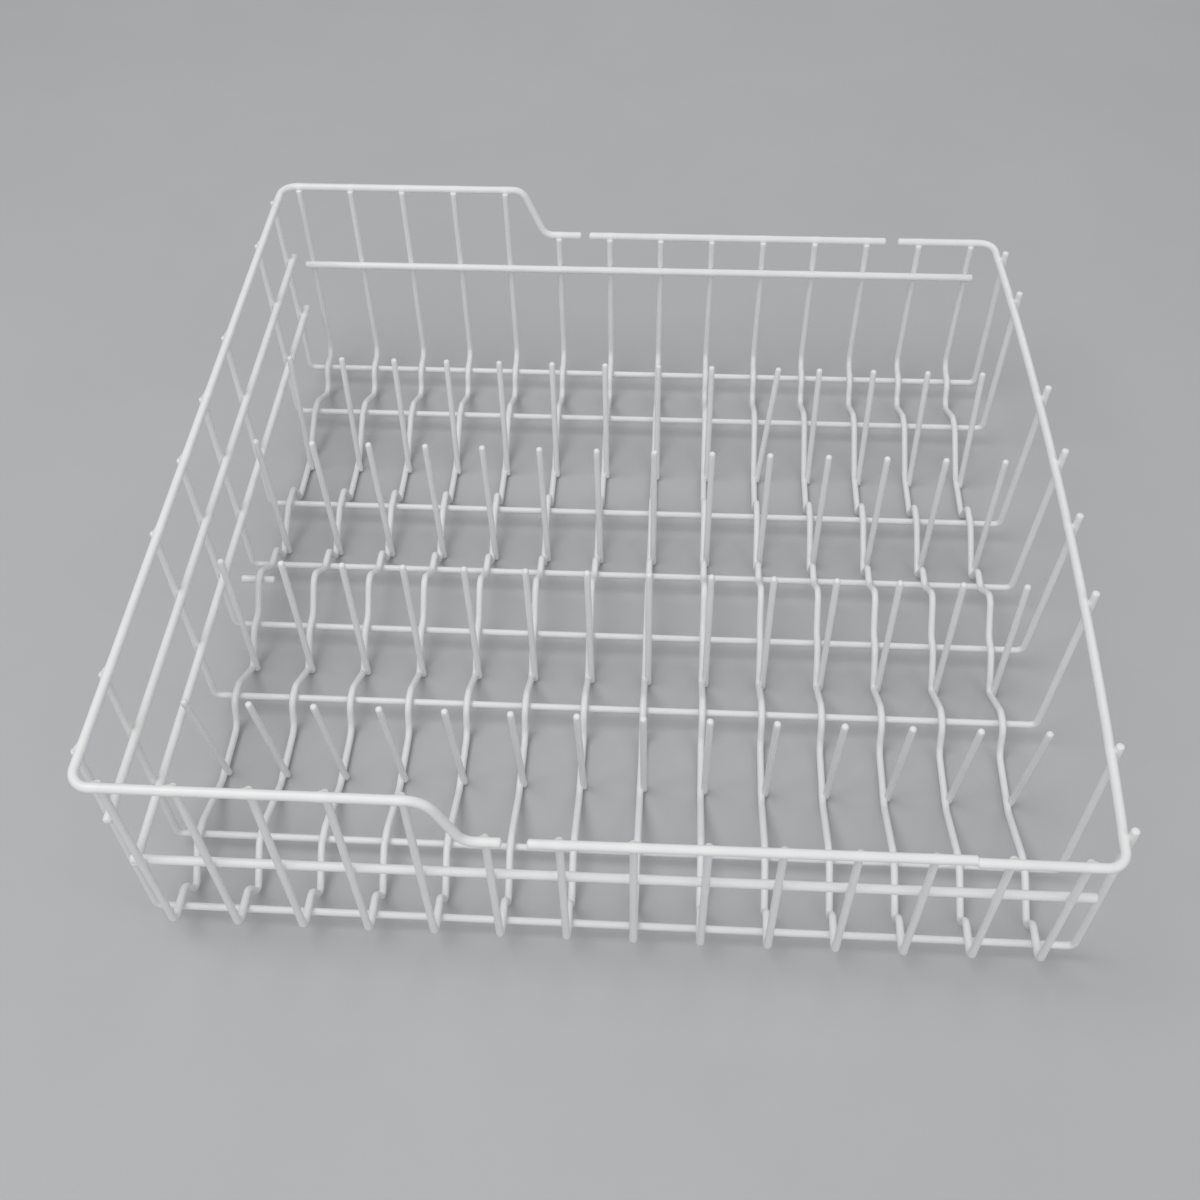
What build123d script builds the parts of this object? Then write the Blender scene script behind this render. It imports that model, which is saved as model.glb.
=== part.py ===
# Lower basket of a dishwasher: a plate rack of welded steel wire under a white dip coat.
# +X is right, +Y is the back and +Z is up. The origin is under the middle, on the surface it stands on.
import os
from math import cos, radians, sqrt, tan

from build123d import *

os.makedirs("parts", exist_ok=True)

# Wire diameters over the coat, and the coat left between two wires where they are welded.
# A wire has eight flat sides with its diameter across them, and turns so that welded wires meet on flats.
rim_d = 5.1
rail_d = 5.1
wire_d = 4.2
tine_d = 4.0
weld_gap = 0.15
side_count = 8
half_side = 180 / side_count

# Outside of the basket at its rim, over the wires
basket_width = 514.7
basket_depth = 486.9

# Heights of wire centres above the surface
low_rim_z = 123.0
high_rim_z = 157.7
cross_z = 15.4
front_cross_z = 11.4
hump_z = 35.0
back_rail_z = 100.5
front_rail_z = 77.0
upper_rail_z = 108.2
lower_rail_z = 62.7

# Floor wires, which run from back to front, and how many of them stand in the tall end and in the right rim
floor_count = 14
floor_left_inset = 15.8
floor_right_inset = 28.0
tall_count = 5
right_count = 2
back_lean = 2.6
front_lean = 1.5
rear_bend = 5.0
foot_bend = 3.5

# Steps of a floor wire: the flats on either side of a cross wire, and the runs of a step and of the one in front
lip = 6.0
lead = 10.0
step_run = 8.0
front_step_run = 4.0
hump_flat = 6.0

# Cross wires, which run from left to right under the floor wires. Their upright legs lean to the back,
# less at the right corners, and the right ones stand out above the rim.
back_inset = 24.0
rear_pair_gap = 49.0
inner_gap = 51.0
outer_gap = 163.0
inner_shift = -7.5
front_pair_gap = 45.0
front_inset = 12.75
cross_bend = 5.0
side_lean = 3.8
corner_lean = 2.0
left_lean = 0.73
right_inset = 7.1
right_stub = 3.0

# Rim: corner bends, bow of the right side, step between the two heights, gaps between its four wires.
# The other legs end under its flank, a little below its middle.
tall_corner_r = 10.0
low_corner_r = 10.0
side_bow = 8.0
rim_step_run = 20.0
rim_step_r = 9.0
front_step_r = 14.0
rim_gap = 10.0
front_right_gap = 1.0
leg_reach = 4.1
leg_drop = 2.0

# How far the rails stand out past the wires they are welded to
side_rail_rear_end = 13.0
side_rail_front_end = 3.0
back_rail_end = 4.8
front_rail_left_end = 8.0
front_rail_right_end = 14.4

# Short bar under the hump of the first floor wire
stub_bar_d = 5.0
stub_bar_left = 13.0
stub_bar_right = 9.0

# Tines: the height of the floor wires' underside at its lowest and of the tines' lower ends, the bevel of the
# tips, how far the tips lean to the left, the height where a tine is welded, and for each row from the back
# its place behind a cross wire, its height and how far its tip leans to the back
wire_lift = 0.9
tine_foot = 0.6
tine_tip = 0.8
tine_side = 2.5
tine_weld_z = 10.0
tine_place = {1: 48.0, 2: 24.0, 3: -25.0, 4: -47.0}
tine_height = {1: 93.6, 2: 105.4, 3: 101.9, 4: 92.9}
tine_lean = {1: 15.0, 2: 1.5, 3: 5.0, 4: -11.0}
tine_flat = 7.0

# One tine of the back row stands askew, with its tip to the right
askew_row = 1
askew_tine = 10
askew_side = -6.5

# Distances between the centres of wires that are welded
rim_r = rim_d / 2
wire_r = wire_d / 2
rim_reach = rim_r + wire_r + weld_gap
wire_reach = wire_d + weld_gap
rail_reach = wire_r + rail_d / 2 + weld_gap
tine_reach = wire_r + tine_d / 2 + weld_gap

# Floor wires from left to right, and the middle of the space after each
left_x = -basket_width / 2 + wire_r
right_x = basket_width / 2 - wire_r
floor_pitch = (right_x - left_x - floor_left_inset - floor_right_inset) / (floor_count - 1)
floor_x = [left_x + floor_left_inset + floor_pitch * k for k in range(floor_count)]
between_x = [x + floor_pitch / 2 for x in floor_x]
step_x = between_x[tall_count - 1]
left_gap_x = between_x[tall_count]
right_gap_x = between_x[-1 - right_count]

# Heights of the floor wires over the cross wires and at their lowest
crest_z = cross_z + wire_reach
front_crest_z = front_cross_z + wire_reach
dip_z = wire_lift + wire_r

# Walls lean: the back one outwards, the front and left ones a little, and the legs of the sides to the back
back_slope = tan(radians(back_lean))
front_slope = tan(radians(front_lean))
left_slope = tan(radians(left_lean))
side_slope = tan(radians(side_lean))
corner_slope = tan(radians(corner_lean))
back_stretch = 1 / cos(radians(back_lean))
front_stretch = 1 / cos(radians(front_lean))
left_stretch = 1 / cos(radians(left_lean))
rim_rise = high_rim_z - low_rim_z
front_rim_y = -basket_depth / 2 + rim_r
high_front_rim_y = front_rim_y + rim_rise * front_slope
high_back_rim_y = basket_depth / 2 - rim_r
back_rim_y = high_back_rim_y - rim_rise * back_slope


def back_leg_y(z):
    return back_rim_y - leg_reach * back_stretch - (low_rim_z - z) * back_slope


def front_leg_y(z):
    return front_rim_y + leg_reach * front_stretch - (low_rim_z - z) * front_slope


def left_leg_x(z):
    return left_x + (high_rim_z - z) * left_slope


# Cross wires from back to front
cross_1 = high_back_rim_y - back_inset
cross_2 = cross_1 - rear_pair_gap
cross_3 = inner_shift + outer_gap / 2
cross_4 = inner_shift + inner_gap / 2
cross_5 = inner_shift - inner_gap / 2
cross_6 = inner_shift - outer_gap / 2
cross_8 = front_rim_y + front_inset
cross_7 = cross_8 + front_pair_gap
cross_y = [cross_1, cross_2, cross_3, cross_4, cross_5, cross_6, cross_7, cross_8]
tine_y = [
    cross_3 + tine_place[1],
    cross_4 + tine_place[2],
    cross_5 + tine_place[3],
    cross_6 + tine_place[4],
]

# The right side of the rim is one long arc
side_half = (back_rim_y - front_rim_y) / 2
side_middle = (back_rim_y + front_rim_y) / 2
side_radius = (side_half**2 + side_bow**2) / (2 * side_bow)
right_rim_x = right_x - rim_reach
left_rim_x = left_x + leg_reach
right_corner_x = right_rim_x - side_bow


def right_leg_x(y):
    inside = side_radius - sqrt(side_radius**2 - (y - side_middle) ** 2)
    return right_x - inside


def floor_route(top_z):
    # Corners of a floor wire in its own upright plane, from the back rim to the front rim
    return [
        (back_leg_y(top_z), top_z),
        (back_leg_y(crest_z + rear_bend), crest_z + rear_bend),
        (back_leg_y(crest_z) - rear_bend, crest_z),
        (cross_1 - lip, crest_z),
        (cross_1 - lip - step_run, dip_z),
        (cross_2 + lip, crest_z),
        (cross_2 - lip, crest_z),
        (tine_y[0] + tine_flat, dip_z),
        (cross_3 + lead + step_run, dip_z),
        (cross_3 + lead, crest_z),
        (cross_3 - lip, crest_z),
        (cross_4 + lead + step_run, dip_z),
        (cross_4 + lead, crest_z),
        (cross_4 - lip, crest_z),
        (inner_shift + hump_flat / 2, hump_z),
        (inner_shift - hump_flat / 2, hump_z),
        (cross_5 + lip, crest_z),
        (cross_5 - lip, crest_z),
        (tine_y[2], dip_z),
        (cross_6 + lip, crest_z),
        (cross_6 - lip, crest_z),
        (cross_6 - lip - step_run, dip_z),
        (tine_y[3] - tine_flat, dip_z),
        (cross_7 + lip, front_crest_z),
        (cross_7 - lip, front_crest_z),
        (cross_8 + lead + front_step_run, dip_z),
        (cross_8 + lead, front_crest_z),
        (front_leg_y(front_crest_z) + foot_bend, front_crest_z),
        (front_leg_y(front_crest_z + foot_bend), front_crest_z + foot_bend),
        (front_leg_y(top_z), top_z),
    ]


# Rim wire of the tall left end, with a step down to the low rim on the front and on the back
with BuildPart() as rim_left:
    with BuildLine() as rim_left_route:
        FilletPolyline(
            (left_gap_x - rim_gap / 2, back_rim_y, low_rim_z),
            (step_x + rim_step_run / 2, back_rim_y, low_rim_z),
            (step_x - rim_step_run / 2, high_back_rim_y, high_rim_z),
            (left_rim_x, high_back_rim_y, high_rim_z),
            (left_rim_x, high_front_rim_y, high_rim_z),
            (step_x - rim_step_run / 2, high_front_rim_y, high_rim_z),
            (step_x + rim_step_run / 2, front_rim_y, low_rim_z),
            (left_gap_x - rim_gap / 2, front_rim_y, low_rim_z),
            radius=[rim_step_r, rim_step_r, tall_corner_r, tall_corner_r, front_step_r, rim_step_r],
        )
    with BuildSketch(Plane(rim_left_route.line @ 0, x_dir=(0, 0, 1), z_dir=rim_left_route.line % 0)):
        RegularPolygon(rim_r, side_count, major_radius=False, rotation=half_side)
    sweep(path=rim_left_route.line)
rim_left.part.label = "rim_left"
export_step(rim_left.part, "parts/rim_left.step")

# Rim wire of the low right end, with the bowed side
with BuildPart() as rim_right:
    with BuildLine(Plane.XY.offset(low_rim_z)) as rim_right_route:
        back_run = Line((right_gap_x + rim_gap / 2, back_rim_y), (right_corner_x, back_rim_y))
        side_run = ThreePointArc(back_run @ 1, (right_rim_x, side_middle), (right_corner_x, front_rim_y))
        Line(side_run @ 1, (right_gap_x + front_right_gap / 2, front_rim_y))
        fillet(rim_right_route.vertices().group_by(Axis.X)[-1], radius=low_corner_r)
    with BuildSketch(Plane(rim_right_route.line @ 0, x_dir=(0, 0, 1), z_dir=rim_right_route.line % 0)):
        RegularPolygon(rim_r, side_count, major_radius=False, rotation=half_side)
    sweep(path=rim_right_route.line)
rim_right.part.label = "rim_right"
export_step(rim_right.part, "parts/rim_right.step")

# Straight wires: where each starts, its length, its direction and its diameter
rim_back_length = right_gap_x - left_gap_x - rim_gap
rim_front_length = right_gap_x - left_gap_x - (rim_gap + front_right_gap) / 2
side_rail_length = cross_1 + side_rail_rear_end - cross_8 + side_rail_front_end
side_rail_y = cross_8 - side_rail_front_end
upper_rail_x = left_leg_x(upper_rail_z) + rail_reach * left_stretch
lower_rail_x = left_leg_x(lower_rail_z) + rail_reach * left_stretch
back_rail_x = floor_x[0] - back_rail_end
back_rail_y = back_leg_y(back_rail_z) - rail_reach * back_stretch
back_rail_length = floor_x[-1] - floor_x[0] + 2 * back_rail_end
front_rail_x = floor_x[0] - front_rail_left_end
front_rail_y = front_leg_y(front_rail_z) + rail_reach * front_stretch
front_rail_length = floor_x[-1] - floor_x[0] + front_rail_left_end + front_rail_right_end
stub_bar_z = hump_z - wire_r - stub_bar_d / 2 - weld_gap
straight_wires = {
    "rim_back": ((left_gap_x + rim_gap / 2, back_rim_y, low_rim_z), rim_back_length, (1, 0, 0), rim_d),
    "rim_front": ((left_gap_x + rim_gap / 2, front_rim_y, low_rim_z), rim_front_length, (1, 0, 0), rim_d),
    "left_rail_upper": ((upper_rail_x, side_rail_y, upper_rail_z), side_rail_length, (0, 1, 0), rail_d),
    "left_rail_lower": ((lower_rail_x, side_rail_y, lower_rail_z), side_rail_length, (0, 1, 0), rail_d),
    "back_rail": ((back_rail_x, back_rail_y, back_rail_z), back_rail_length, (1, 0, 0), rail_d),
    "front_rail": ((front_rail_x, front_rail_y, front_rail_z), front_rail_length, (1, 0, 0), rail_d),
    "stub_bar": (
        (floor_x[0] - stub_bar_left, inner_shift, stub_bar_z),
        stub_bar_left + stub_bar_right,
        (1, 0, 0),
        stub_bar_d,
    ),
}
for name, (start, length, direction, diameter) in straight_wires.items():
    with BuildPart() as straight_wire:
        with BuildSketch(Plane(start, x_dir=(0, 0, 1), z_dir=direction)):
            RegularPolygon(diameter / 2, side_count, major_radius=False, rotation=half_side)
        extrude(amount=length)
    straight_wire.part.label = name
    export_step(straight_wire.part, f"parts/{name}.step")

# Cross wires: up the left wall, along under the floor, up the right wall
left_top_z = high_rim_z - leg_drop
right_top_z = low_rim_z + right_stub
right_floor_x = right_x - right_inset
for number, y in enumerate(cross_y, start=1):
    floor_z = front_cross_z if y < cross_6 else cross_z
    left_back = (left_top_z - floor_z) * side_slope
    right_slope = corner_slope if y in (cross_1, cross_8) else side_slope
    right_back = (low_rim_z - floor_z) * right_slope
    right_rise = (right_top_z - floor_z) / (low_rim_z - floor_z)
    right_top_x = right_floor_x + (right_leg_x(y + right_back) - right_floor_x) * right_rise
    bend_x = right_floor_x + (right_top_x - right_floor_x) * cross_bend / (right_top_z - floor_z)
    with BuildPart() as cross_wire:
        with BuildLine() as cross_route:
            Polyline(
                (left_leg_x(left_top_z), y + left_back, left_top_z),
                (left_leg_x(floor_z + cross_bend), y, floor_z + cross_bend),
                (left_leg_x(floor_z) + cross_bend, y, floor_z),
                (right_floor_x - cross_bend, y, floor_z),
                (bend_x, y, floor_z + cross_bend),
                (right_top_x, y + right_back * right_rise, right_top_z),
            )
        with BuildSketch(Plane(cross_route.line @ 0, x_dir=(0, 1, 0), z_dir=cross_route.line % 0)):
            RegularPolygon(wire_r, side_count, major_radius=False, rotation=half_side)
        sweep(path=cross_route.line, transition=Transition.RIGHT)
    cross_wire.part.label = f"cross_wire_{number}"
    export_step(cross_wire.part, f"parts/cross_wire_{number}.step")

# Floor wires: down the back wall, along the stepped floor, up the front wall
for number, x in enumerate(floor_x, start=1):
    corners = floor_route((high_rim_z if number <= tall_count else low_rim_z) - leg_drop)
    with BuildPart() as floor_wire:
        with BuildLine(Plane.YZ.offset(x)) as floor_line:
            Polyline(*corners)
        with BuildSketch(Plane(floor_line.line @ 0, x_dir=(1, 0, 0), z_dir=floor_line.line % 0)):
            RegularPolygon(wire_r, side_count, major_radius=False, rotation=half_side)
        sweep(path=floor_line.line, transition=Transition.RIGHT)
    floor_wire.part.label = f"floor_wire_{number:02d}"
    export_step(floor_wire.part, f"parts/floor_wire_{number:02d}.step")

# Rows of tines, each tine welded to the right side of its floor wire
for number, y in enumerate(tine_y, start=1):
    with BuildPart() as tine_row:
        for place, x in enumerate(floor_x, start=1):
            side = askew_side if (number, place) == (askew_row, askew_tine) else tine_side
            upward = Vector(-side, tine_lean[number], tine_height[number])
            tine_tilt = sqrt(side**2 + tine_lean[number] ** 2) / upward.length
            base = (x + tine_reach + max(side, 0) * tine_weld_z / upward.Z, y, tine_foot + tine_d / 2 * tine_tilt)
            with BuildSketch(Plane(base, x_dir=(1, 0, 0), z_dir=upward)):
                RegularPolygon(tine_d / 2, side_count, major_radius=False, rotation=half_side)
            extrude(amount=upward.length)
        tips = [edge for tine in tine_row.solids() for edge in tine.faces().sort_by(Axis.Z)[-1].edges()]
        chamfer(tips, length=tine_tip)
    tine_row.part.label = f"tine_row_{number}"
    export_step(tine_row.part, f"parts/tine_row_{number}.step")
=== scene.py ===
import math
import random

import bpy
from mathutils import Matrix, Vector, noise


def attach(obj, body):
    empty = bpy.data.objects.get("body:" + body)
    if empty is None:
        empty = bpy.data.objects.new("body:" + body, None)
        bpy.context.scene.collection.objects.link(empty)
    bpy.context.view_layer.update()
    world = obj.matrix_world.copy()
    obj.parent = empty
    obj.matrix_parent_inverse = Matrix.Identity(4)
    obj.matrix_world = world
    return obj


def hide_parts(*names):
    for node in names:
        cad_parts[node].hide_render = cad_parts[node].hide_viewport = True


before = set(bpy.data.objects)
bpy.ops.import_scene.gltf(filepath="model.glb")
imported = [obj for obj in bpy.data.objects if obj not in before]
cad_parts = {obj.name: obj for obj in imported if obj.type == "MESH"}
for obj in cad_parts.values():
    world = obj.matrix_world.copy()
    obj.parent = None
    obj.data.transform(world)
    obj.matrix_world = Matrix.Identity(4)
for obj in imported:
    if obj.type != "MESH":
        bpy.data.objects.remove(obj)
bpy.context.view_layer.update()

mm = 0.001
tiny = 1e-6    # a run shorter than this, in millimetres, counts as none
speck = 1e-9    # keeps divisions and comparisons safe
scene = bpy.context.scene
scene.view_settings.view_transform = "Standard"
dice = random.Random(41)


# shader maths: a Pin holds one socket, and an expression on Pins adds Math nodes
class Pin:
    def __init__(self, tree, socket=None):
        self.tree = tree
        self.socket = socket

    def add(self, kind, settings=None, sockets=None, out=0):
        node = self.tree.nodes.new(kind)
        for name, value in (settings or {}).items():
            if name == "stops":
                ramp = node.color_ramp
                while len(ramp.elements) < len(value):
                    ramp.elements.new(0.5)
                for stop, (place, colour) in zip(ramp.elements, value):
                    stop.position = place
                    stop.color = colour
            else:
                setattr(node, name, value)
        for name, value in (sockets or {}).items():
            if isinstance(value, Pin):
                self.tree.links.new(value.socket, node.inputs[name])
            else:
                node.inputs[name].default_value = value
        return Pin(self.tree, node.outputs[out]) if len(node.outputs) else None

    def math(self, operation, first, second):
        return self.add("ShaderNodeMath", {"operation": operation}, {0: first, 1: second})

    def __add__(self, other):
        return self.math("ADD", self, other)

    def __radd__(self, other):
        return self.math("ADD", other, self)

    def __sub__(self, other):
        return self.math("SUBTRACT", self, other)

    def __rsub__(self, other):
        return self.math("SUBTRACT", other, self)

    def __mul__(self, other):
        return self.math("MULTIPLY", self, other)

    def __rmul__(self, other):
        return self.math("MULTIPLY", other, self)


def rgba(colour):
    return (colour[0], colour[1], colour[2], 1.0)


# sockets 6 and 7 of a Mix node are its colours, and output 2 is the mixed one
def mixColours(pin, amount, first, second):
    return pin.add("ShaderNodeMix", {"data_type": "RGBA"}, {0: amount, 6: first, 7: second}, out=2)


def objectPlace(pin):
    return pin.add("ShaderNodeTexCoord", out=3)


# white dip coat, one look for each gauge of wire and one for the coat drawn into the welds, which is
# painted darker as painted shade in the nooks between wires
coatLooks = {
    "rimCoat": {"white": (0.795, 0.80, 0.80), "grey": (0.705, 0.71, 0.715),
                "pooled": (0.80, 0.80, 0.79), "rough": 0.36, "peel": 520.0, "lift": 0.16},
    "wireCoat": {"white": (0.785, 0.79, 0.79), "grey": (0.69, 0.70, 0.705),
                 "pooled": (0.79, 0.79, 0.78), "rough": 0.39, "peel": 640.0, "lift": 0.16},
    "tineCoat": {"white": (0.79, 0.795, 0.795), "grey": (0.695, 0.70, 0.705),
                 "pooled": (0.80, 0.795, 0.785), "rough": 0.38, "peel": 700.0, "lift": 0.15},
    # the weld coat's white, grey and pooled colours are darker than the wires': painted shade in the nooks
    # where wires meet
    "weldCoatWithPaintedShade": {"white": (0.755, 0.76, 0.76), "grey": (0.665, 0.67, 0.67),
                 "pooled": (0.74, 0.74, 0.73), "rough": 0.34, "peel": 420.0, "lift": 0.12},
}
# what the looks share: broad clouds of thinner coat, a fine mottle, and the peel of the skin
coatGrain = {"cloudScale": 34.0, "cloudDetail": 3.0, "cloudRough": 0.55, "cloudFrom": 0.30, "cloudTo": 0.72,
             "mottleScale": 260.0, "mottleDetail": 4.0, "mottleRough": 0.6, "peelDetail": 2.0,
             "thinByCloud": 0.45, "thinByMottle": 0.22, "thinLess": 0.08, "pooledShare": 0.7,
             "roughByMottle": 0.16, "roughByPool": 0.05, "bumpByPeel": 0.8, "bumpByMottle": 0.4,
             "bumpDistance": 0.0003, "specular": 0.45}


def dipCoat(name, look):
    g = coatGrain
    coat = bpy.data.materials.new(name)
    coat.use_nodes = True
    coat.node_tree.nodes.clear()
    pin = Pin(coat.node_tree)
    place = objectPlace(pin)
    cloud = pin.add("ShaderNodeTexNoise", {}, {"Vector": place, "Scale": g["cloudScale"],
                                               "Detail": g["cloudDetail"], "Roughness": g["cloudRough"]})
    mottle = pin.add("ShaderNodeTexNoise", {}, {"Vector": place, "Scale": g["mottleScale"],
                                                "Detail": g["mottleDetail"], "Roughness": g["mottleRough"]})
    peel = pin.add("ShaderNodeTexNoise", {}, {"Vector": place, "Scale": look["peel"],
                                              "Detail": g["peelDetail"]})
    pool = pin.add("ShaderNodeAttribute", {"attribute_name": "pool"}, out=2)    # 1 at a weld
    stops = [(g["cloudFrom"], (1, 1, 1, 1)), (g["cloudTo"], (0, 0, 0, 1))]
    shade = pin.add("ShaderNodeValToRGB", {"stops": stops}, {"Fac": cloud})
    thin = (1.0 - shade) * g["thinByCloud"] + mottle * g["thinByMottle"] - g["thinLess"]
    clean = mixColours(pin, thin, rgba(look["white"]), rgba(look["grey"]))
    colour = mixColours(pin, pool * g["pooledShare"], clean, rgba(look["pooled"]))
    rough = look["rough"] + (mottle - 0.5) * g["roughByMottle"] - pool * g["roughByPool"]
    height = peel * g["bumpByPeel"] + mottle * g["bumpByMottle"]
    bump = pin.add("ShaderNodeBump", {}, {"Strength": look["lift"], "Distance": g["bumpDistance"],
                                          "Height": height})
    shader = pin.add("ShaderNodeBsdfPrincipled", {}, {"Base Color": colour, "Roughness": rough,
                                                      "Normal": bump, "Specular IOR Level": g["specular"]})
    pin.add("ShaderNodeOutputMaterial", {}, {"Surface": shader})
    return coat


coats = {name: dipCoat(name, look) for name, look in coatLooks.items()}
print("coats mixed:", len(coats))


# routes of the wires in millimetres, as corners of their centre lines
gauge = {"rim": 5.1, "rail": 5.1, "wire": 4.2, "tine": 4.0, "stub": 5.0, "weldGap": 0.15}
basket = {"width": 514.7, "depth": 486.9, "lowRim": 123.0, "highRim": 157.7, "legReach": 4.1,
          "legDrop": 2.0, "backLean": 2.6, "frontLean": 1.5, "leftLean": 0.73, "sideLean": 3.8,
          "cornerLean": 2.0}
# how far welded wires are pressed together
sink = {"rail": 0.9, "tine": 2.3, "rim": 0.9, "back": 1.4, "backRise": 1.6}


def leanTan(wall):
    return math.tan(math.radians(basket[wall]))


def leanCos(wall):
    return math.cos(math.radians(basket[wall]))


rimRadius = gauge["rim"] / 2
railRadius = gauge["rail"] / 2
wireRadius = gauge["wire"] / 2
tineRadius = gauge["tine"] / 2
stubRadius = gauge["stub"] / 2
rimReach = rimRadius + wireRadius + gauge["weldGap"]
railReach = railRadius + wireRadius + gauge["weldGap"] - sink["rail"]
wireReach = gauge["wire"] + gauge["weldGap"]
tineReach = wireRadius + tineRadius + gauge["weldGap"]
leftX = wireRadius - basket["width"] / 2
rightX = basket["width"] / 2 - wireRadius
lowRim = basket["lowRim"]
highRim = basket["highRim"]
backSlope = leanTan("backLean")
frontSlope = leanTan("frontLean")
leftSlope = leanTan("leftLean")
sideSlope = leanTan("sideLean")
cornerSlope = leanTan("cornerLean")
frontRimY = rimRadius - basket["depth"] / 2
highBackRimY = basket["depth"] / 2 - rimRadius
highFrontRimY = frontRimY + (highRim - lowRim) * frontSlope
backRimY = highBackRimY - (highRim - lowRim) * backSlope


def backLegY(z):
    return backRimY - basket["legReach"] / leanCos("backLean") - (lowRim - z) * backSlope


def frontLegY(z):
    return frontRimY + basket["legReach"] / leanCos("frontLean") - (lowRim - z) * frontSlope


def leftLegX(z):
    return leftX + (highRim - z) * leftSlope


# tight, swayPoint and foot are numbers of corners in floorRoute, from 0 at the top of the back leg
floorWires = {"count": 14, "tall": 5, "leftInset": 15.8, "rightInset": 28.0, "rearBend": 5.0,
              "footBend": 3.5, "lip": 6.0, "lead": 10.0, "stepRun": 8.0, "frontStepRun": 4.0,
              "humpFlat": 6.0, "hump": 35.0, "lift": 0.9, "bend": 10.0, "tightBend": 4.3,
              "tight": (8, 9, 11, 12, 18, 25, 26, 27, 28), "sway": 2.4, "swayPoint": 25, "swayed": 7,
              "foot": 27}
crossWires = {"z": 15.4, "frontZ": 11.4, "backInset": 24.0, "rearGap": 49.0, "innerGap": 51.0,
              "outerGap": 163.0, "shift": -7.5, "frontGap": 45.0, "frontInset": 12.75, "rightInset": 7.1,
              "rightStub": (6.6, 8.0, 9.7, 10.7, 10.0, 9.3, 4.7, 7.0), "bendCut": 2.5, "bend": 5.0}
# askew is the row and place, both from 0, of the one tine that leans to the right
tines = {"foot": 0.6, "side": 2.5, "weldZ": 10.0, "flat": 7.0, "place": (48.0, 24.0, -25.0, -47.0),
         "height": (93.6, 105.4, 101.9, 92.9), "lean": (15.0, 1.5, 5.0, -11.0),
         "askew": (0, 9), "askewSide": -6.5, "tipShift": 0.5}
rims = {"tallCorner": 10.0, "lowCorner": 10.0, "bow": 8.0, "bowSteps": 16, "stepTop": 6.5, "stepFoot": 8.0,
        "stepBend": 9.0, "frontStepBend": 14.0, "rightCount": 2, "jointBack": 1.0, "jointUp": 0.5}
# how far the two rim wires stop short of the middle of each gap, left wire first
rimEnds = {"backLeft": (2.1, 3.1), "backRight": (4.5, 3.4), "frontLeft": (8.9, 2.9),
           "frontRight": (-0.6, -0.6)}
rails = {"backZ": 100.5, "frontZ": 77.0, "upperZ": 108.2, "lowerZ": 62.7, "sideRear": 13.0,
         "sideFront": 3.0, "backEnd": 4.8, "frontLeft": 8.0, "frontRight": 14.4, "frontTilt": 2.5,
         "stubLeft": 13.0, "stubRight": 9.0}

floorRun = rightX - leftX - floorWires["leftInset"] - floorWires["rightInset"]
floorPitch = floorRun / (floorWires["count"] - 1)
floorX = [leftX + floorWires["leftInset"] + floorPitch * k for k in range(floorWires["count"])]
stepX = floorX[floorWires["tall"] - 1] + floorPitch / 2
leftGapX = floorX[floorWires["tall"]] + floorPitch / 2
rightGapX = floorX[-1 - rims["rightCount"]] + floorPitch / 2
shift = crossWires["shift"]
cross1 = highBackRimY - crossWires["backInset"]
cross8 = frontRimY + crossWires["frontInset"]
crossY = [cross1, cross1 - crossWires["rearGap"],
          shift + crossWires["outerGap"] / 2, shift + crossWires["innerGap"] / 2,
          shift - crossWires["innerGap"] / 2, shift - crossWires["outerGap"] / 2,
          cross8 + crossWires["frontGap"], cross8]
tineY = [crossY[k + 2] + place for k, place in enumerate(tines["place"])]
crest = crossWires["z"] + wireReach
frontCrest = crossWires["frontZ"] + wireReach
dip = floorWires["lift"] + wireRadius
leftRimX = leftX + basket["legReach"]
rightRimX = rightX - rimReach
sideHalf = (backRimY - frontRimY) / 2
sideMiddle = (backRimY + frontRimY) / 2
sideRadius = (sideHalf ** 2 + rims["bow"] ** 2) / (2 * rims["bow"])


def rightLegX(y):
    return rightX - sideRadius + math.sqrt(sideRadius ** 2 - (y - sideMiddle) ** 2)


def floorRoute(x, top, sway):
    f = floorWires
    lip, lead, stepRun, humpHalf = f["lip"], f["lead"], f["stepRun"], f["humpFlat"] / 2
    rearBend, footBend = f["rearBend"], f["footBend"]
    run = [(backLegY(top), top), (backLegY(crest + rearBend), crest + rearBend),
           (backLegY(crest) - rearBend, crest), (crossY[0] - lip, crest),
           (crossY[0] - lip - stepRun, dip), (crossY[1] + lip, crest),
           (crossY[1] - lip, crest), (tineY[0] + tines["flat"], dip),
           (crossY[2] + lead + stepRun, dip), (crossY[2] + lead, crest),
           (crossY[2] - lip, crest), (crossY[3] + lead + stepRun, dip),
           (crossY[3] + lead, crest), (crossY[3] - lip, crest),
           (shift + humpHalf, f["hump"]), (shift - humpHalf, f["hump"]),
           (crossY[4] + lip, crest), (crossY[4] - lip, crest), (tineY[2], dip),
           (crossY[5] + lip, crest), (crossY[5] - lip, crest),
           (crossY[5] - lip - stepRun, dip), (tineY[3] - tines["flat"], dip),
           (crossY[6] + lip, frontCrest), (crossY[6] - lip, frontCrest),
           (cross8 + lead + f["frontStepRun"], dip), (cross8 + lead, frontCrest),
           (frontLegY(frontCrest) + footBend, frontCrest),
           (frontLegY(frontCrest + footBend), frontCrest + footBend), (frontLegY(top), top)]
    route = [Vector((x, y, z)) for y, z in run]
    route[f["swayPoint"]].x += sway
    route[0] += Vector((0, sink["back"], sink["backRise"]))
    return route


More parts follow.
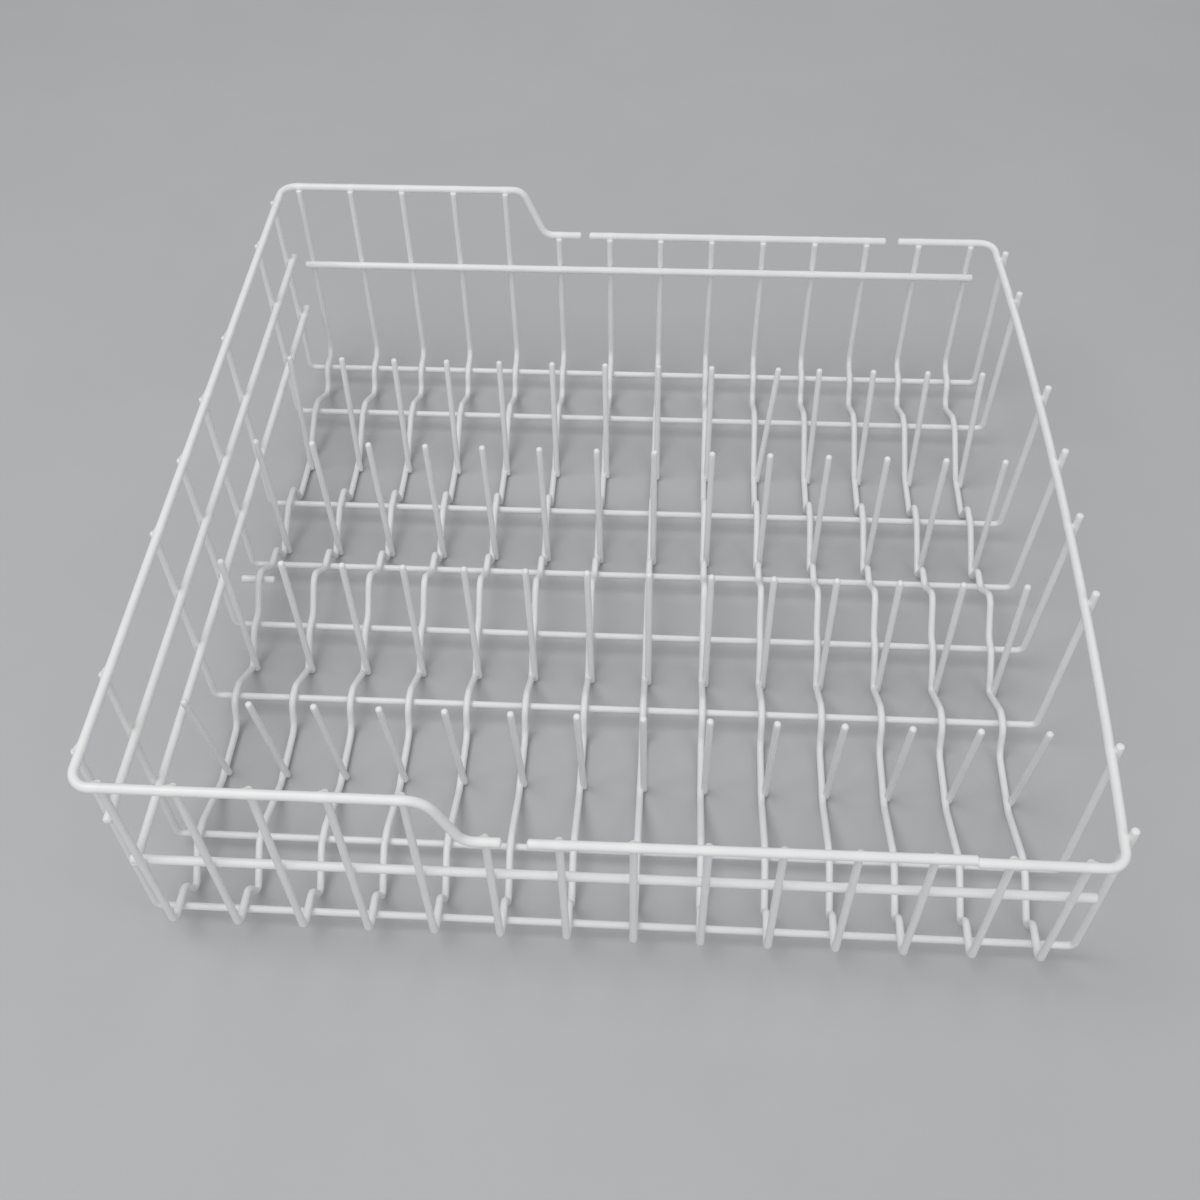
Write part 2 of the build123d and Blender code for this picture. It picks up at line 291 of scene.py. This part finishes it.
def crossRoute(number, y):
    c = crossWires
    z = c["frontZ"] if y < crossY[5] else c["z"]
    cut = c["bendCut"]
    leftTop = highRim - basket["legDrop"]
    leftBack = (leftTop - z) * sideSlope
    rightTop = lowRim + c["rightStub"][number - 1]
    rightBack = (lowRim - z) * (cornerSlope if number in (1, len(crossY)) else sideSlope)
    rise = (rightTop - z) / (lowRim - z)
    floorEnd = rightX - c["rightInset"]
    topX = floorEnd + (rightLegX(y + rightBack) - sink["rim"] - floorEnd) * rise
    bendX = floorEnd + (topX - floorEnd) * cut / (rightTop - z)
    run = [(leftLegX(leftTop), y + leftBack, leftTop), (leftLegX(z + cut), y, z + cut),
           (leftLegX(z) + cut, y, z), (floorEnd - cut, y, z),
           (bendX, y, z + cut), (topX, y + rightBack * rise, rightTop)]
    return [Vector(p) for p in run]


def tineRoute(x, row, side):
    height, lean = tines["height"][row], tines["lean"][row]
    upward = Vector((-side, lean, height))
    tilt = math.hypot(side, lean) / upward.length
    weldX = x + tineReach + max(side, 0) * tines["weldZ"] / height
    base = Vector((weldX, tineY[row], tines["foot"] + tineRadius * tilt))
    tip = base + upward
    base.x -= sink["tine"]
    tip.x -= tines["tipShift"]
    return [base, tip]


# a corner of a route becomes an arc; bends holds one radius for each inner corner
arcShape = {"step": 11.0, "straight": 0.01, "room": 0.49}


def roundCorners(corners, bends):
    line = [corners[0].copy()]
    for k in range(1, len(corners) - 1):
        before, here, after = corners[k - 1], corners[k], corners[k + 1]
        inward, outward = (here - before).normalized(), (after - here).normalized()
        turn = inward.angle(outward, 0.0)
        if turn < arcShape["straight"]:
            line.append(here.copy())
            continue
        room = arcShape["room"] * min((here - before).length, (after - here).length)
        radius = min(bends[k - 1], room / math.tan(turn / 2))
        reach = radius * math.tan(turn / 2)
        start = here - inward * reach
        centre = here + (outward - inward).normalized() * (radius / math.cos(turn / 2))
        axis = inward.cross(outward).normalized()
        pieces = max(2, math.ceil(turn / math.radians(arcShape["step"])))
        for step in range(pieces + 1):
            line.append(centre + Matrix.Rotation(turn * step / pieces, 3, axis) @ (start - centre))
    line.append(corners[-1].copy())
    return line


def sideArc():
    reach = math.asin(sideHalf / sideRadius)
    middle = rightRimX - sideRadius
    steps = rims["bowSteps"]
    run = []
    for k in range(2 * steps + 1):
        turn = reach * (1 - k / steps)
        x = middle + sideRadius * math.cos(turn)
        y = sideMiddle + sideRadius * math.sin(turn)
        run.append(Vector((x, y, lowRim)))
    return run


# every wire: its node, kind, radius, centre line, and the spots where coat has run together
wires = []


def layWire(node, kind, radius, corners, bends=(), drips=()):
    line = roundCorners([Vector(p) for p in corners], bends)
    wires.append({"node": node, "kind": kind, "radius": radius, "line": line, "drips": drips})


stepTop, stepFoot = stepX - rims["stepTop"], stepX + rims["stepFoot"]
leftRun = [(leftGapX - rimEnds["backLeft"][0], backRimY, lowRim), (stepFoot, backRimY, lowRim),
           (stepTop, highBackRimY, highRim), (leftRimX, highBackRimY, highRim),
           (leftRimX, highFrontRimY, highRim), (stepTop, highFrontRimY, highRim),
           (stepFoot, frontRimY, lowRim), (leftGapX - rimEnds["frontLeft"][0], frontRimY, lowRim)]
layWire("rim_left", "rim", rimRadius, leftRun,
        [rims["stepBend"], rims["stepBend"], rims["tallCorner"], rims["tallCorner"],
         rims["frontStepBend"], rims["stepBend"]])
side = sideArc()
sideEnd = (rightGapX + rimEnds["backRight"][1], backRimY, lowRim)
sideStart = (rightGapX + rimEnds["frontRight"][1], frontRimY, lowRim)
rightRun = [sideEnd, side[0]] + side[2:-2] + [side[-1], sideStart]
layWire("rim_right", "rim", rimRadius, rightRun,
        [rims["lowCorner"]] + [sideRadius] * (len(rightRun) - 4) + [rims["lowCorner"]])
frontStart = (leftGapX + rimEnds["frontLeft"][1], frontRimY, lowRim)
joint = (rightGapX - rimEnds["frontRight"][0], frontRimY + rims["jointBack"], lowRim + rims["jointUp"])
layWire("rim_front", "rim", rimRadius, [frontStart, joint])
layWire("rim_back", "rim", rimRadius, [(leftGapX + rimEnds["backLeft"][1], backRimY, lowRim),
                                       (rightGapX - rimEnds["backRight"][0], backRimY, lowRim)])
for node, z in (("left_rail_upper", rails["upperZ"]), ("left_rail_lower", rails["lowerZ"])):
    x = leftLegX(z) + railReach / leanCos("leftLean")
    layWire(node, "rail", railRadius, [(x, cross8 - rails["sideFront"], z),
                                       (x, cross1 + rails["sideRear"], z)])
y = backLegY(rails["backZ"]) - railReach / leanCos("backLean")
layWire("back_rail", "rail", railRadius, [(floorX[0] - rails["backEnd"], y, rails["backZ"]),
                                          (floorX[-1] + rails["backEnd"], y, rails["backZ"])])
y = frontLegY(rails["frontZ"]) + railReach / leanCos("frontLean")
rightEnd = rails["frontZ"] + rails["frontTilt"]
layWire("front_rail", "rail", railRadius, [(floorX[0] - rails["frontLeft"], y, rails["frontZ"]),
                                           (floorX[-1] + rails["frontRight"], y, rightEnd)])
stubZ = floorWires["hump"] - wireRadius - stubRadius - gauge["weldGap"]
layWire("stub_bar", "rail", stubRadius, [(floorX[0] - rails["stubLeft"], shift, stubZ),
                                         (floorX[0] + rails["stubRight"], shift, stubZ)])
for number, y in enumerate(crossY, 1):
    corners = crossRoute(number, y)
    layWire(f"cross_wire_{number}", "wire", wireRadius, corners, [crossWires["bend"]] * (len(corners) - 2))
for number, x in enumerate(floorX, 1):
    top = (highRim if number <= floorWires["tall"] else lowRim) - basket["legDrop"]
    corners = floorRoute(x, top, floorWires["sway"] * max(0.0, 1 - (number - 1) / floorWires["swayed"]))
    bends = []
    for k in range(1, len(corners) - 1):
        bends.append(floorWires["tightBend" if k in floorWires["tight"] else "bend"])
    foot = corners[floorWires["foot"]].lerp(corners[floorWires["foot"] + 1], 0.5)
    layWire(f"floor_wire_{number:02d}", "wire", wireRadius, corners, bends, [foot])
for row in range(len(tineY)):
    for place, x in enumerate(floorX):
        askew = (row, place) == tines["askew"]
        corners = tineRoute(x, row, tines["askewSide"] if askew else tines["side"])
        layWire(f"tine_row_{row + 1}", "tine", tineRadius, corners)
print("wires laid:", len(wires))


# where two wires touch, for the coat that is drawn into the corners of a weld
weldSearch = {"margin": 0.5, "gap": 0.45, "apart": 10.0, "parallel": 0.6}


def clampShare(value):
    return min(1.0, max(0.0, value))


def nearest(a0, a1, b0, b1):
    u, v, w = a1 - a0, b1 - b0, a0 - b0
    uu, uv, vv, uw, vw = u.dot(u), u.dot(v), v.dot(v), u.dot(w), v.dot(w)
    flat = uu * vv - uv * uv
    s = 0.5 if flat < speck * uu * vv else clampShare((uv * vw - vv * uw) / flat)
    t = clampShare((uv * s + vw) / vv)
    s = clampShare((uv * t - uw) / uu)
    return a0 + u * s, b0 + v * t


def boxOf(points, margin):
    low = [min(p[k] for p in points) - margin for k in range(3)]
    high = [max(p[k] for p in points) + margin for k in range(3)]
    return low, high


def apart(one, two):
    return any(one[0][k] > two[1][k] or two[0][k] > one[1][k] for k in range(3))


for wire in wires:
    line = wire["line"]
    margin = wire["radius"] + weldSearch["margin"]
    wire["box"] = boxOf(line, margin)
    wire["runs"] = [(a, b, boxOf((a, b), margin)) for a, b in zip(line, line[1:]) if (b - a).length > tiny]
    wire["touches"] = []


def touchesOf(one, two):
    found = []
    for a0, a1, boxA in one["runs"]:
        if apart(boxA, two["box"]):
            continue
        for b0, b1, boxB in two["runs"]:
            if apart(boxA, boxB):
                continue
            p, q = nearest(a0, a1, b0, b1)
            gap = (p - q).length - one["radius"] - two["radius"]
            if gap < weldSearch["gap"]:
                found.append((gap, p, q, (a1 - a0).normalized(), (b1 - b0).normalized()))
    found.sort(key=lambda item: item[0])
    kept = []
    for item in found:
        if all((item[1] - other[1]).length > weldSearch["apart"] for other in kept):
            kept.append(item)
    return kept


welds = []
for k, one in enumerate(wires):
    for two in wires[k + 1:]:
        if apart(one["box"], two["box"]):
            continue
        for gap, p, q, alongA, alongB in touchesOf(one, two):
            if abs(alongA.dot(alongB)) > weldSearch["parallel"]:
                continue
            welds.append({"one": one, "two": two, "p": p, "q": q, "alongA": alongA, "alongB": alongB})
            one["touches"].append(p)
            two["touches"].append(q)
print("welds found:", len(welds))


# a coated wire: rings along its route, a little thicker at welds and ends, with rounded ends
coatShape = {"sides": 16, "ringEvery": 7.0, "ringsAtWeld": (-6.0, -4.0, -2.2, 0.0, 2.2, 4.0, 6.0),
             "ringsApart": 0.35, "shaft": 0.985, "thickest": 1.035, "weldSwell": 0.05, "weldReach": 3.2,
             "endSwell": 0.035, "endReach": 3.0, "dripSwell": 0.13, "dripReach": 4.5,
             "wander": 0.018, "wanderScale": 0.11, "fineScale": 0.3, "fineShare": 0.5, "seedSpan": 50.0}
# length of each rounded end in radii, and its rings from the tip by their angle
endShape = {"rim": (0.6, 0.6), "rail": (0.6, 0.6), "wire": (0.45, 0.45), "tine": (0.3, 0.85),
            "angles": (84, 66, 46, 24), "bluff": 0.8, "clear": 0.3, "pool": 0.6}


def placeOf(line, lengths, spot):
    best = None
    for k, (a, b) in enumerate(zip(line, line[1:])):
        run = b - a
        if run.length < tiny:
            continue
        t = clampShare((spot - a).dot(run) / run.dot(run))
        away = (a + run * t - spot).length
        if best is None or away < best[0]:
            best = (away, lengths[k] + run.length * t)
    return best[1]


def stations(line, touches):
    lengths = [0.0]
    for a, b in zip(line, line[1:]):
        lengths.append(lengths[-1] + (b - a).length)
    marks = [placeOf(line, lengths, spot) for spot in touches]
    places = set(lengths)
    for start, end in zip(lengths, lengths[1:]):
        pieces = math.ceil((end - start) / coatShape["ringEvery"])
        for step in range(1, pieces):
            places.add(start + (end - start) * step / pieces)
    for mark in marks:
        for offset in coatShape["ringsAtWeld"]:
            places.add(mark + offset)
    total = lengths[-1]
    ordered = []
    for place in sorted(p for p in places if -tiny <= p <= total + tiny):
        if not ordered or place - ordered[-1] > coatShape["ringsApart"]:
            ordered.append(place)
    if total - ordered[-1] < coatShape["ringsApart"]:
        ordered.pop()
    ordered.append(total)
    return lengths, marks, ordered


def pointAt(line, lengths, place):
    k = 0
    while k < len(lengths) - 2 and lengths[k + 1] < place - speck:
        k += 1
    run = max(lengths[k + 1] - lengths[k], speck)
    return line[k].lerp(line[k + 1], clampShare((place - lengths[k]) / run))


def endRings(length):
    rings = []
    for angle in endShape["angles"]:
        turn = math.radians(angle)
        rings.append((length * (1 - math.sin(turn)), math.cos(turn) ** endShape["bluff"]))
    return rings


# 1 at a mark, and less with the distance from it
def nearness(place, marks, reach):
    return max((math.exp(-((place - mark) / reach) ** 2) for mark in marks), default=0.0)


def coatWire(wire, points, faces, pools):
    c = coatShape
    line, radius, sides = wire["line"], wire["radius"], c["sides"]
    lengths, marks, places = stations(line, wire["touches"])
    drips = [placeOf(line, lengths, spot) for spot in wire["drips"]]
    total = lengths[-1]
    lowEnd, highEnd = (share * radius for share in endShape[wire["kind"]])
    seed = Vector([dice.uniform(-c["seedSpan"], c["seedSpan"]) for k in range(3)])
    inner = [p for p in places if lowEnd + endShape["clear"] < p < total - highEnd - endShape["clear"]]
    rings = endRings(lowEnd)
    rings += [(place, 1.0) for place in [lowEnd] + inner + [total - highEnd]]
    rings += [(total - place, share) for place, share in reversed(endRings(highEnd))]
    centres = [pointAt(line, lengths, place) for place, share in rings]
    tangents = []
    for k in range(len(centres)):
        ahead = centres[min(k + 1, len(centres) - 1)] - centres[max(k - 1, 0)]
        tangents.append(ahead.normalized())
    across = tangents[0].orthogonal().normalized()
    base = len(points)
    points.append(line[0] * mm)
    pools.append(endShape["pool"])
    for k, (place, share) in enumerate(rings):
        tangent = tangents[k]
        across = (across - tangent * across.dot(tangent)).normalized()
        upward = tangent.cross(across)
        pool = nearness(place, marks, c["weldReach"])
        endPool = nearness(min(place, total - place), [0.0], c["endReach"])
        drip = nearness(place, drips, c["dripReach"])
        thick = c["shaft"] + c["weldSwell"] * pool + c["endSwell"] * endPool
        for number in range(sides):
            turn = 2 * math.pi * number / sides
            outward = across * math.cos(turn) + upward * math.sin(turn)
            spot = centres[k] + outward * radius
            wave = noise.noise(spot * c["wanderScale"] + seed)
            wave += c["fineShare"] * noise.noise(spot * c["fineScale"] + seed)
            size = min(c["thickest"], thick + c["wander"] * wave) + c["dripSwell"] * drip
            size *= radius * share
            points.append((centres[k] + outward * size) * mm)
            pools.append(max(pool, endShape["pool"] * endPool, drip))
    points.append(line[-1] * mm)
    pools.append(endShape["pool"])
    tip = len(points) - 1
    for number in range(sides):
        after = (number + 1) % sides
        faces.append((base, base + 1 + after, base + 1 + number))
        for k in range(len(rings) - 1):
            here = base + 1 + k * sides
            there = here + sides
            faces.append((here + number, here + after, there + after, there + number))
        here = base + 1 + (len(rings) - 1) * sides
        faces.append((here + number, here + after, tip))


def makePiece(name, points, faces, pools, coat):
    mesh = bpy.data.meshes.new(name)
    mesh.from_pydata([tuple(p) for p in points], [], faces)
    mesh.polygons.foreach_set("use_smooth", [True] * len(mesh.polygons))
    layer = mesh.attributes.new("pool", "FLOAT", "POINT")
    layer.data.foreach_set("value", pools)
    mesh.materials.append(coat)
    mesh.update()
    piece = bpy.data.objects.new(name, mesh)
    scene.collection.objects.link(piece)
    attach(piece, "root")
    return piece


kindCoat = {"rim": "rimCoat", "rail": "rimCoat", "wire": "wireCoat", "tine": "tineCoat"}
nodeWires = {}
for wire in wires:
    nodeWires.setdefault(wire["node"], []).append(wire)
for node, group in nodeWires.items():
    points, faces, pools = [], [], []
    for wire in group:
        coatWire(wire, points, faces, pools)
    piece = makePiece("coated_" + node, points, faces, pools, coats[kindCoat[group[0]["kind"]]])
    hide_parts(node)
print("coated wires:", len(nodeWires))


# coat drawn into the corner between two touching wires: a ring that curves in from one wire to the other
weldShape = {"around": 28, "across": 5, "opening": 1.15, "spread": 0.25, "waist": 0.42, "sunk": 0.16,
             "core": 0.3, "within": 0.97, "farthest": 6.0, "grazing": 1e-3, "tries": 24,
             "wobble": 0.12, "wobbleTurn": 1.7, "wobblePlace": 0.2}


# drop of a wire's surface at a distance from the touching point; side is 1 straight across the wire
def sag(radius, side, away):
    return radius - math.sqrt(max(0.0, radius ** 2 - (away * side) ** 2))


def weldRing(weld, points, faces, pools):
    s = weldShape
    normal = (weld["q"] - weld["p"]).normalized()
    swollen = coatShape["shaft"] + coatShape["weldSwell"]
    radiusA, radiusB = weld["one"]["radius"] * swollen, weld["two"]["radius"] * swollen
    gap = (weld["q"] - weld["p"]).length - radiusA - radiusB
    middle = weld["p"] + normal * (radiusA + gap / 2)
    first = normal.orthogonal().normalized()
    second = normal.cross(first)
    opening = s["opening"] * (1 + s["spread"] * dice.uniform(-1, 1))
    around, across = s["around"], s["across"]
    base = len(points)
    for k in range(around):
        turn = 2 * math.pi * k / around
        outward = first * math.cos(turn) + second * math.sin(turn)
        sideA = math.sqrt(max(0.0, 1 - outward.dot(weld["alongA"]) ** 2))
        sideB = math.sqrt(max(0.0, 1 - outward.dot(weld["alongB"]) ** 2))
        edgeA, edgeB = radiusA / max(sideA, s["grazing"]), radiusB / max(sideB, s["grazing"])
        low, high = 0.0, s["within"] * min(edgeA, edgeB, s["farthest"])
        bumpy = noise.noise(outward * s["wobbleTurn"] + middle * s["wobblePlace"])
        wanted = opening * (1 + s["wobble"] * bumpy)
        for attempt in range(s["tries"]):
            away = (low + high) / 2
            if gap + sag(radiusA, sideA, away) + sag(radiusB, sideB, away) < wanted:
                low = away
            else:
                high = away
        away = (low + high) / 2
        topA = -sag(radiusA, sideA, away) - gap / 2 - s["sunk"]
        topB = sag(radiusB, sideB, away) + gap / 2 + s["sunk"]
        for step in range(across + 1):
            share = step / across
            height = topA + (topB - topA) * share
            pull = s["waist"] * (topB - topA) * math.sin(math.pi * share)
            points.append((middle + normal * height + outward * (away - pull)) * mm)
            pools.append(1.0)
        points.append((middle + outward * (away * s["core"])) * mm)
        pools.append(1.0)
    section = across + 2
    for k in range(around):
        here = base + k * section
        after = base + (k + 1) % around * section
        for step in range(section):
            ahead = (step + 1) % section
            faces.append((here + step, after + step, after + ahead, here + ahead))


# coat pooled where the end of a leg meets the rim: a lump that is longest along the rim
lumpShape = {"around": 14, "rings": 9, "cap": 0.15, "place": 0.52, "long": 3.1, "deep": 2.1, "high": 1.85,
             "spread": 0.1, "backSize": 0.75, "endWithin": 1.5,
             "bumpy": 0.06, "bumpyWay": 0.5, "bumpyPlace": 0.3}


def weldLump(weld, points, faces, pools):
    s = lumpShape
    toLeg = (weld["q"] - weld["p"]).normalized()
    along = (weld["alongA"] - toLeg * weld["alongA"].dot(toLeg)).normalized()
    third = along.cross(toLeg)
    middle = weld["p"].lerp(weld["q"], s["place"])
    size = 1 + s["spread"] * dice.uniform(-1, 1)
    if weld["p"].y > cross1:
        size *= s["backSize"]
    around, rings = s["around"], s["rings"]
    base = len(points)
    for ring in range(rings + 1):
        turn = math.pi * (ring + s["cap"]) / (rings + 2 * s["cap"])
        flat = math.sin(turn)
        for k in range(around):
            spin = 2 * math.pi * k / around
            way = along * (math.cos(turn) * s["long"]) + toLeg * (flat * math.cos(spin) * s["deep"])
            way += third * (flat * math.sin(spin) * s["high"])
            bumpy = noise.noise(way * s["bumpyWay"] + middle * s["bumpyPlace"])
            points.append((middle + way * size * (1 + s["bumpy"] * bumpy)) * mm)
            pools.append(1.0)
    for ring in range(rings):
        here = base + ring * around
        for k in range(around):
            after = (k + 1) % around
            faces.append((here + k, here + around + k, here + around + after, here + after))
    faces.append(tuple(base + k for k in range(around)))
    faces.append(tuple(base + rings * around + around - 1 - k for k in range(around)))


def atEnd(wire, spot):
    line = wire["line"]
    return min((line[0] - spot).length, (line[-1] - spot).length) < lumpShape["endWithin"]


wallFrom = 40.0    # welds higher than this are on the walls
weldGroups = {"weld_coat_rim": [], "weld_coat_walls": [], "weld_coat_floor": [], "weld_coat_tines": []}
for weld in welds:
    kinds = {weld["one"]["kind"], weld["two"]["kind"]}
    if "tine" in kinds:
        weldGroups["weld_coat_tines"].append(weld)
    elif "rim" in kinds:
        weldGroups["weld_coat_rim"].append(weld)
    elif weld["p"].z > wallFrom:
        weldGroups["weld_coat_walls"].append(weld)
    else:
        weldGroups["weld_coat_floor"].append(weld)
for name, group in weldGroups.items():
    points, faces, pools = [], [], []
    for weld in group:
        onRim = weld["one"]["kind"] == "rim" and atEnd(weld["two"], weld["q"])
        shape = weldLump if onRim else weldRing
        shape(weld, points, faces, pools)
    # every weld piece takes the darker weld coat, painted shade between the touching wires
    makePiece(name, points, faces, pools, coats["weldCoatWithPaintedShade"])
    print(name, len(group))


# pale floor, which fades into the surroundings far from the object
floorLook = {"size": 12.0, "pale": (0.47, 0.475, 0.48), "shade": (0.43, 0.435, 0.44), "rough": 0.7,
             "specular": 0.2, "grainScale": 7.0, "grainDetail": 5.0, "grainRough": 0.6,
             "fadeFrom": 1.15, "fadeTo": 2.6}
studio = {"colour": (0.98, 0.985, 1.0), "strength": 0.42}
half = floorLook["size"] / 2
floorCorners = [(-half, -half, 0), (half, -half, 0), (half, half, 0), (-half, half, 0)]
floorMesh = bpy.data.meshes.new("studio_floor")
floorMesh.from_pydata(floorCorners, [], [(0, 1, 2, 3)])
studioFloor = bpy.data.objects.new("studio_floor", floorMesh)
scene.collection.objects.link(studioFloor)
paper = bpy.data.materials.new("palePaper")
paper.use_nodes = True
paper.node_tree.nodes.clear()
pin = Pin(paper.node_tree)
place = objectPlace(pin)
grain = pin.add("ShaderNodeTexNoise", {}, {"Vector": place, "Scale": floorLook["grainScale"],
                                           "Detail": floorLook["grainDetail"],
                                           "Roughness": floorLook["grainRough"]})
colour = mixColours(pin, grain, rgba(floorLook["pale"]), rgba(floorLook["shade"]))
shader = pin.add("ShaderNodeBsdfPrincipled", {}, {"Base Color": colour, "Roughness": floorLook["rough"],
                                                  "Specular IOR Level": floorLook["specular"]})
far = pin.add("ShaderNodeVectorMath", {"operation": "LENGTH"}, {0: place}, out=1)
fade = pin.add("ShaderNodeMapRange", {"interpolation_type": "SMOOTHSTEP"},
               {0: far, 1: floorLook["fadeFrom"], 2: floorLook["fadeTo"]})
haze = pin.add("ShaderNodeEmission", {}, {"Color": rgba(studio["colour"]), "Strength": studio["strength"]})
surface = pin.add("ShaderNodeMixShader", {}, {0: fade, 1: shader, 2: haze})
pin.add("ShaderNodeOutputMaterial", {}, {"Surface": surface})
floorMesh.materials.append(paper)
print("floor laid")


# soft studio light, every lamp aimed at the middle of the basket
lampAim = (0, 0, 0.05)
lamps = {"key": {"place": (-0.9, -0.3, 2.1), "size": 1.3, "power": 19.0},
         "front": {"place": (-0.3, -2.0, 1.4), "size": 1.6, "power": 11.5},
         "fill": {"place": (1.5, -1.1, 1.3), "size": 1.4, "power": 7.5},
         "back": {"place": (0.3, 1.6, 1.5), "size": 1.2, "power": 5.5}}
for name, lamp in lamps.items():
    light = bpy.data.lights.new(name, "AREA")
    light.shape = "SQUARE"
    light.size = lamp["size"]
    light.energy = lamp["power"]
    lightObject = bpy.data.objects.new(name, light)
    scene.collection.objects.link(lightObject)
    lightObject.location = lamp["place"]
    aim = Vector(lampAim) - Vector(lamp["place"])
    lightObject.rotation_euler = aim.to_track_quat("-Z", "Y").to_euler()
world = bpy.data.worlds.new("studio")
world.use_nodes = True
world.node_tree.nodes["Background"].inputs["Color"].default_value = rgba(studio["colour"])
world.node_tree.nodes["Background"].inputs["Strength"].default_value = studio["strength"]
scene.world = world
print("lights set:", len(lamps))


# camera at the viewing angle, for a square picture; focal and picture are in pixels
view = {"place": (0.022806, -0.540192, 0.681031), "yaw": -4.496, "pitch": 51.033, "roll": 1.618,
        "focal": 1311.36, "picture": 1200.0, "sensor": 36.0, "clipStart": 0.01}
yaw, pitch, roll = (math.radians(view[k]) for k in ("yaw", "pitch", "roll"))
ahead = Vector((math.sin(yaw) * math.cos(pitch), math.cos(yaw) * math.cos(pitch), -math.sin(pitch)))
level = Vector((math.cos(yaw), -math.sin(yaw), 0))
downward = ahead.cross(level)
right = level * math.cos(roll) + downward * math.sin(roll)
down = downward * math.cos(roll) - level * math.sin(roll)
eye = bpy.data.cameras.new("eye")
eye.sensor_fit = "HORIZONTAL"
eye.sensor_width = view["sensor"]
eye.lens = view["sensor"] * view["focal"] / view["picture"]
eye.clip_start = view["clipStart"]
eyeObject = bpy.data.objects.new("eye", eye)
scene.collection.objects.link(eyeObject)
turned = Matrix((right, -down, -ahead)).transposed().to_4x4()
turned.translation = Vector(view["place"])
eyeObject.matrix_world = turned
scene.camera = eyeObject
print("camera set")
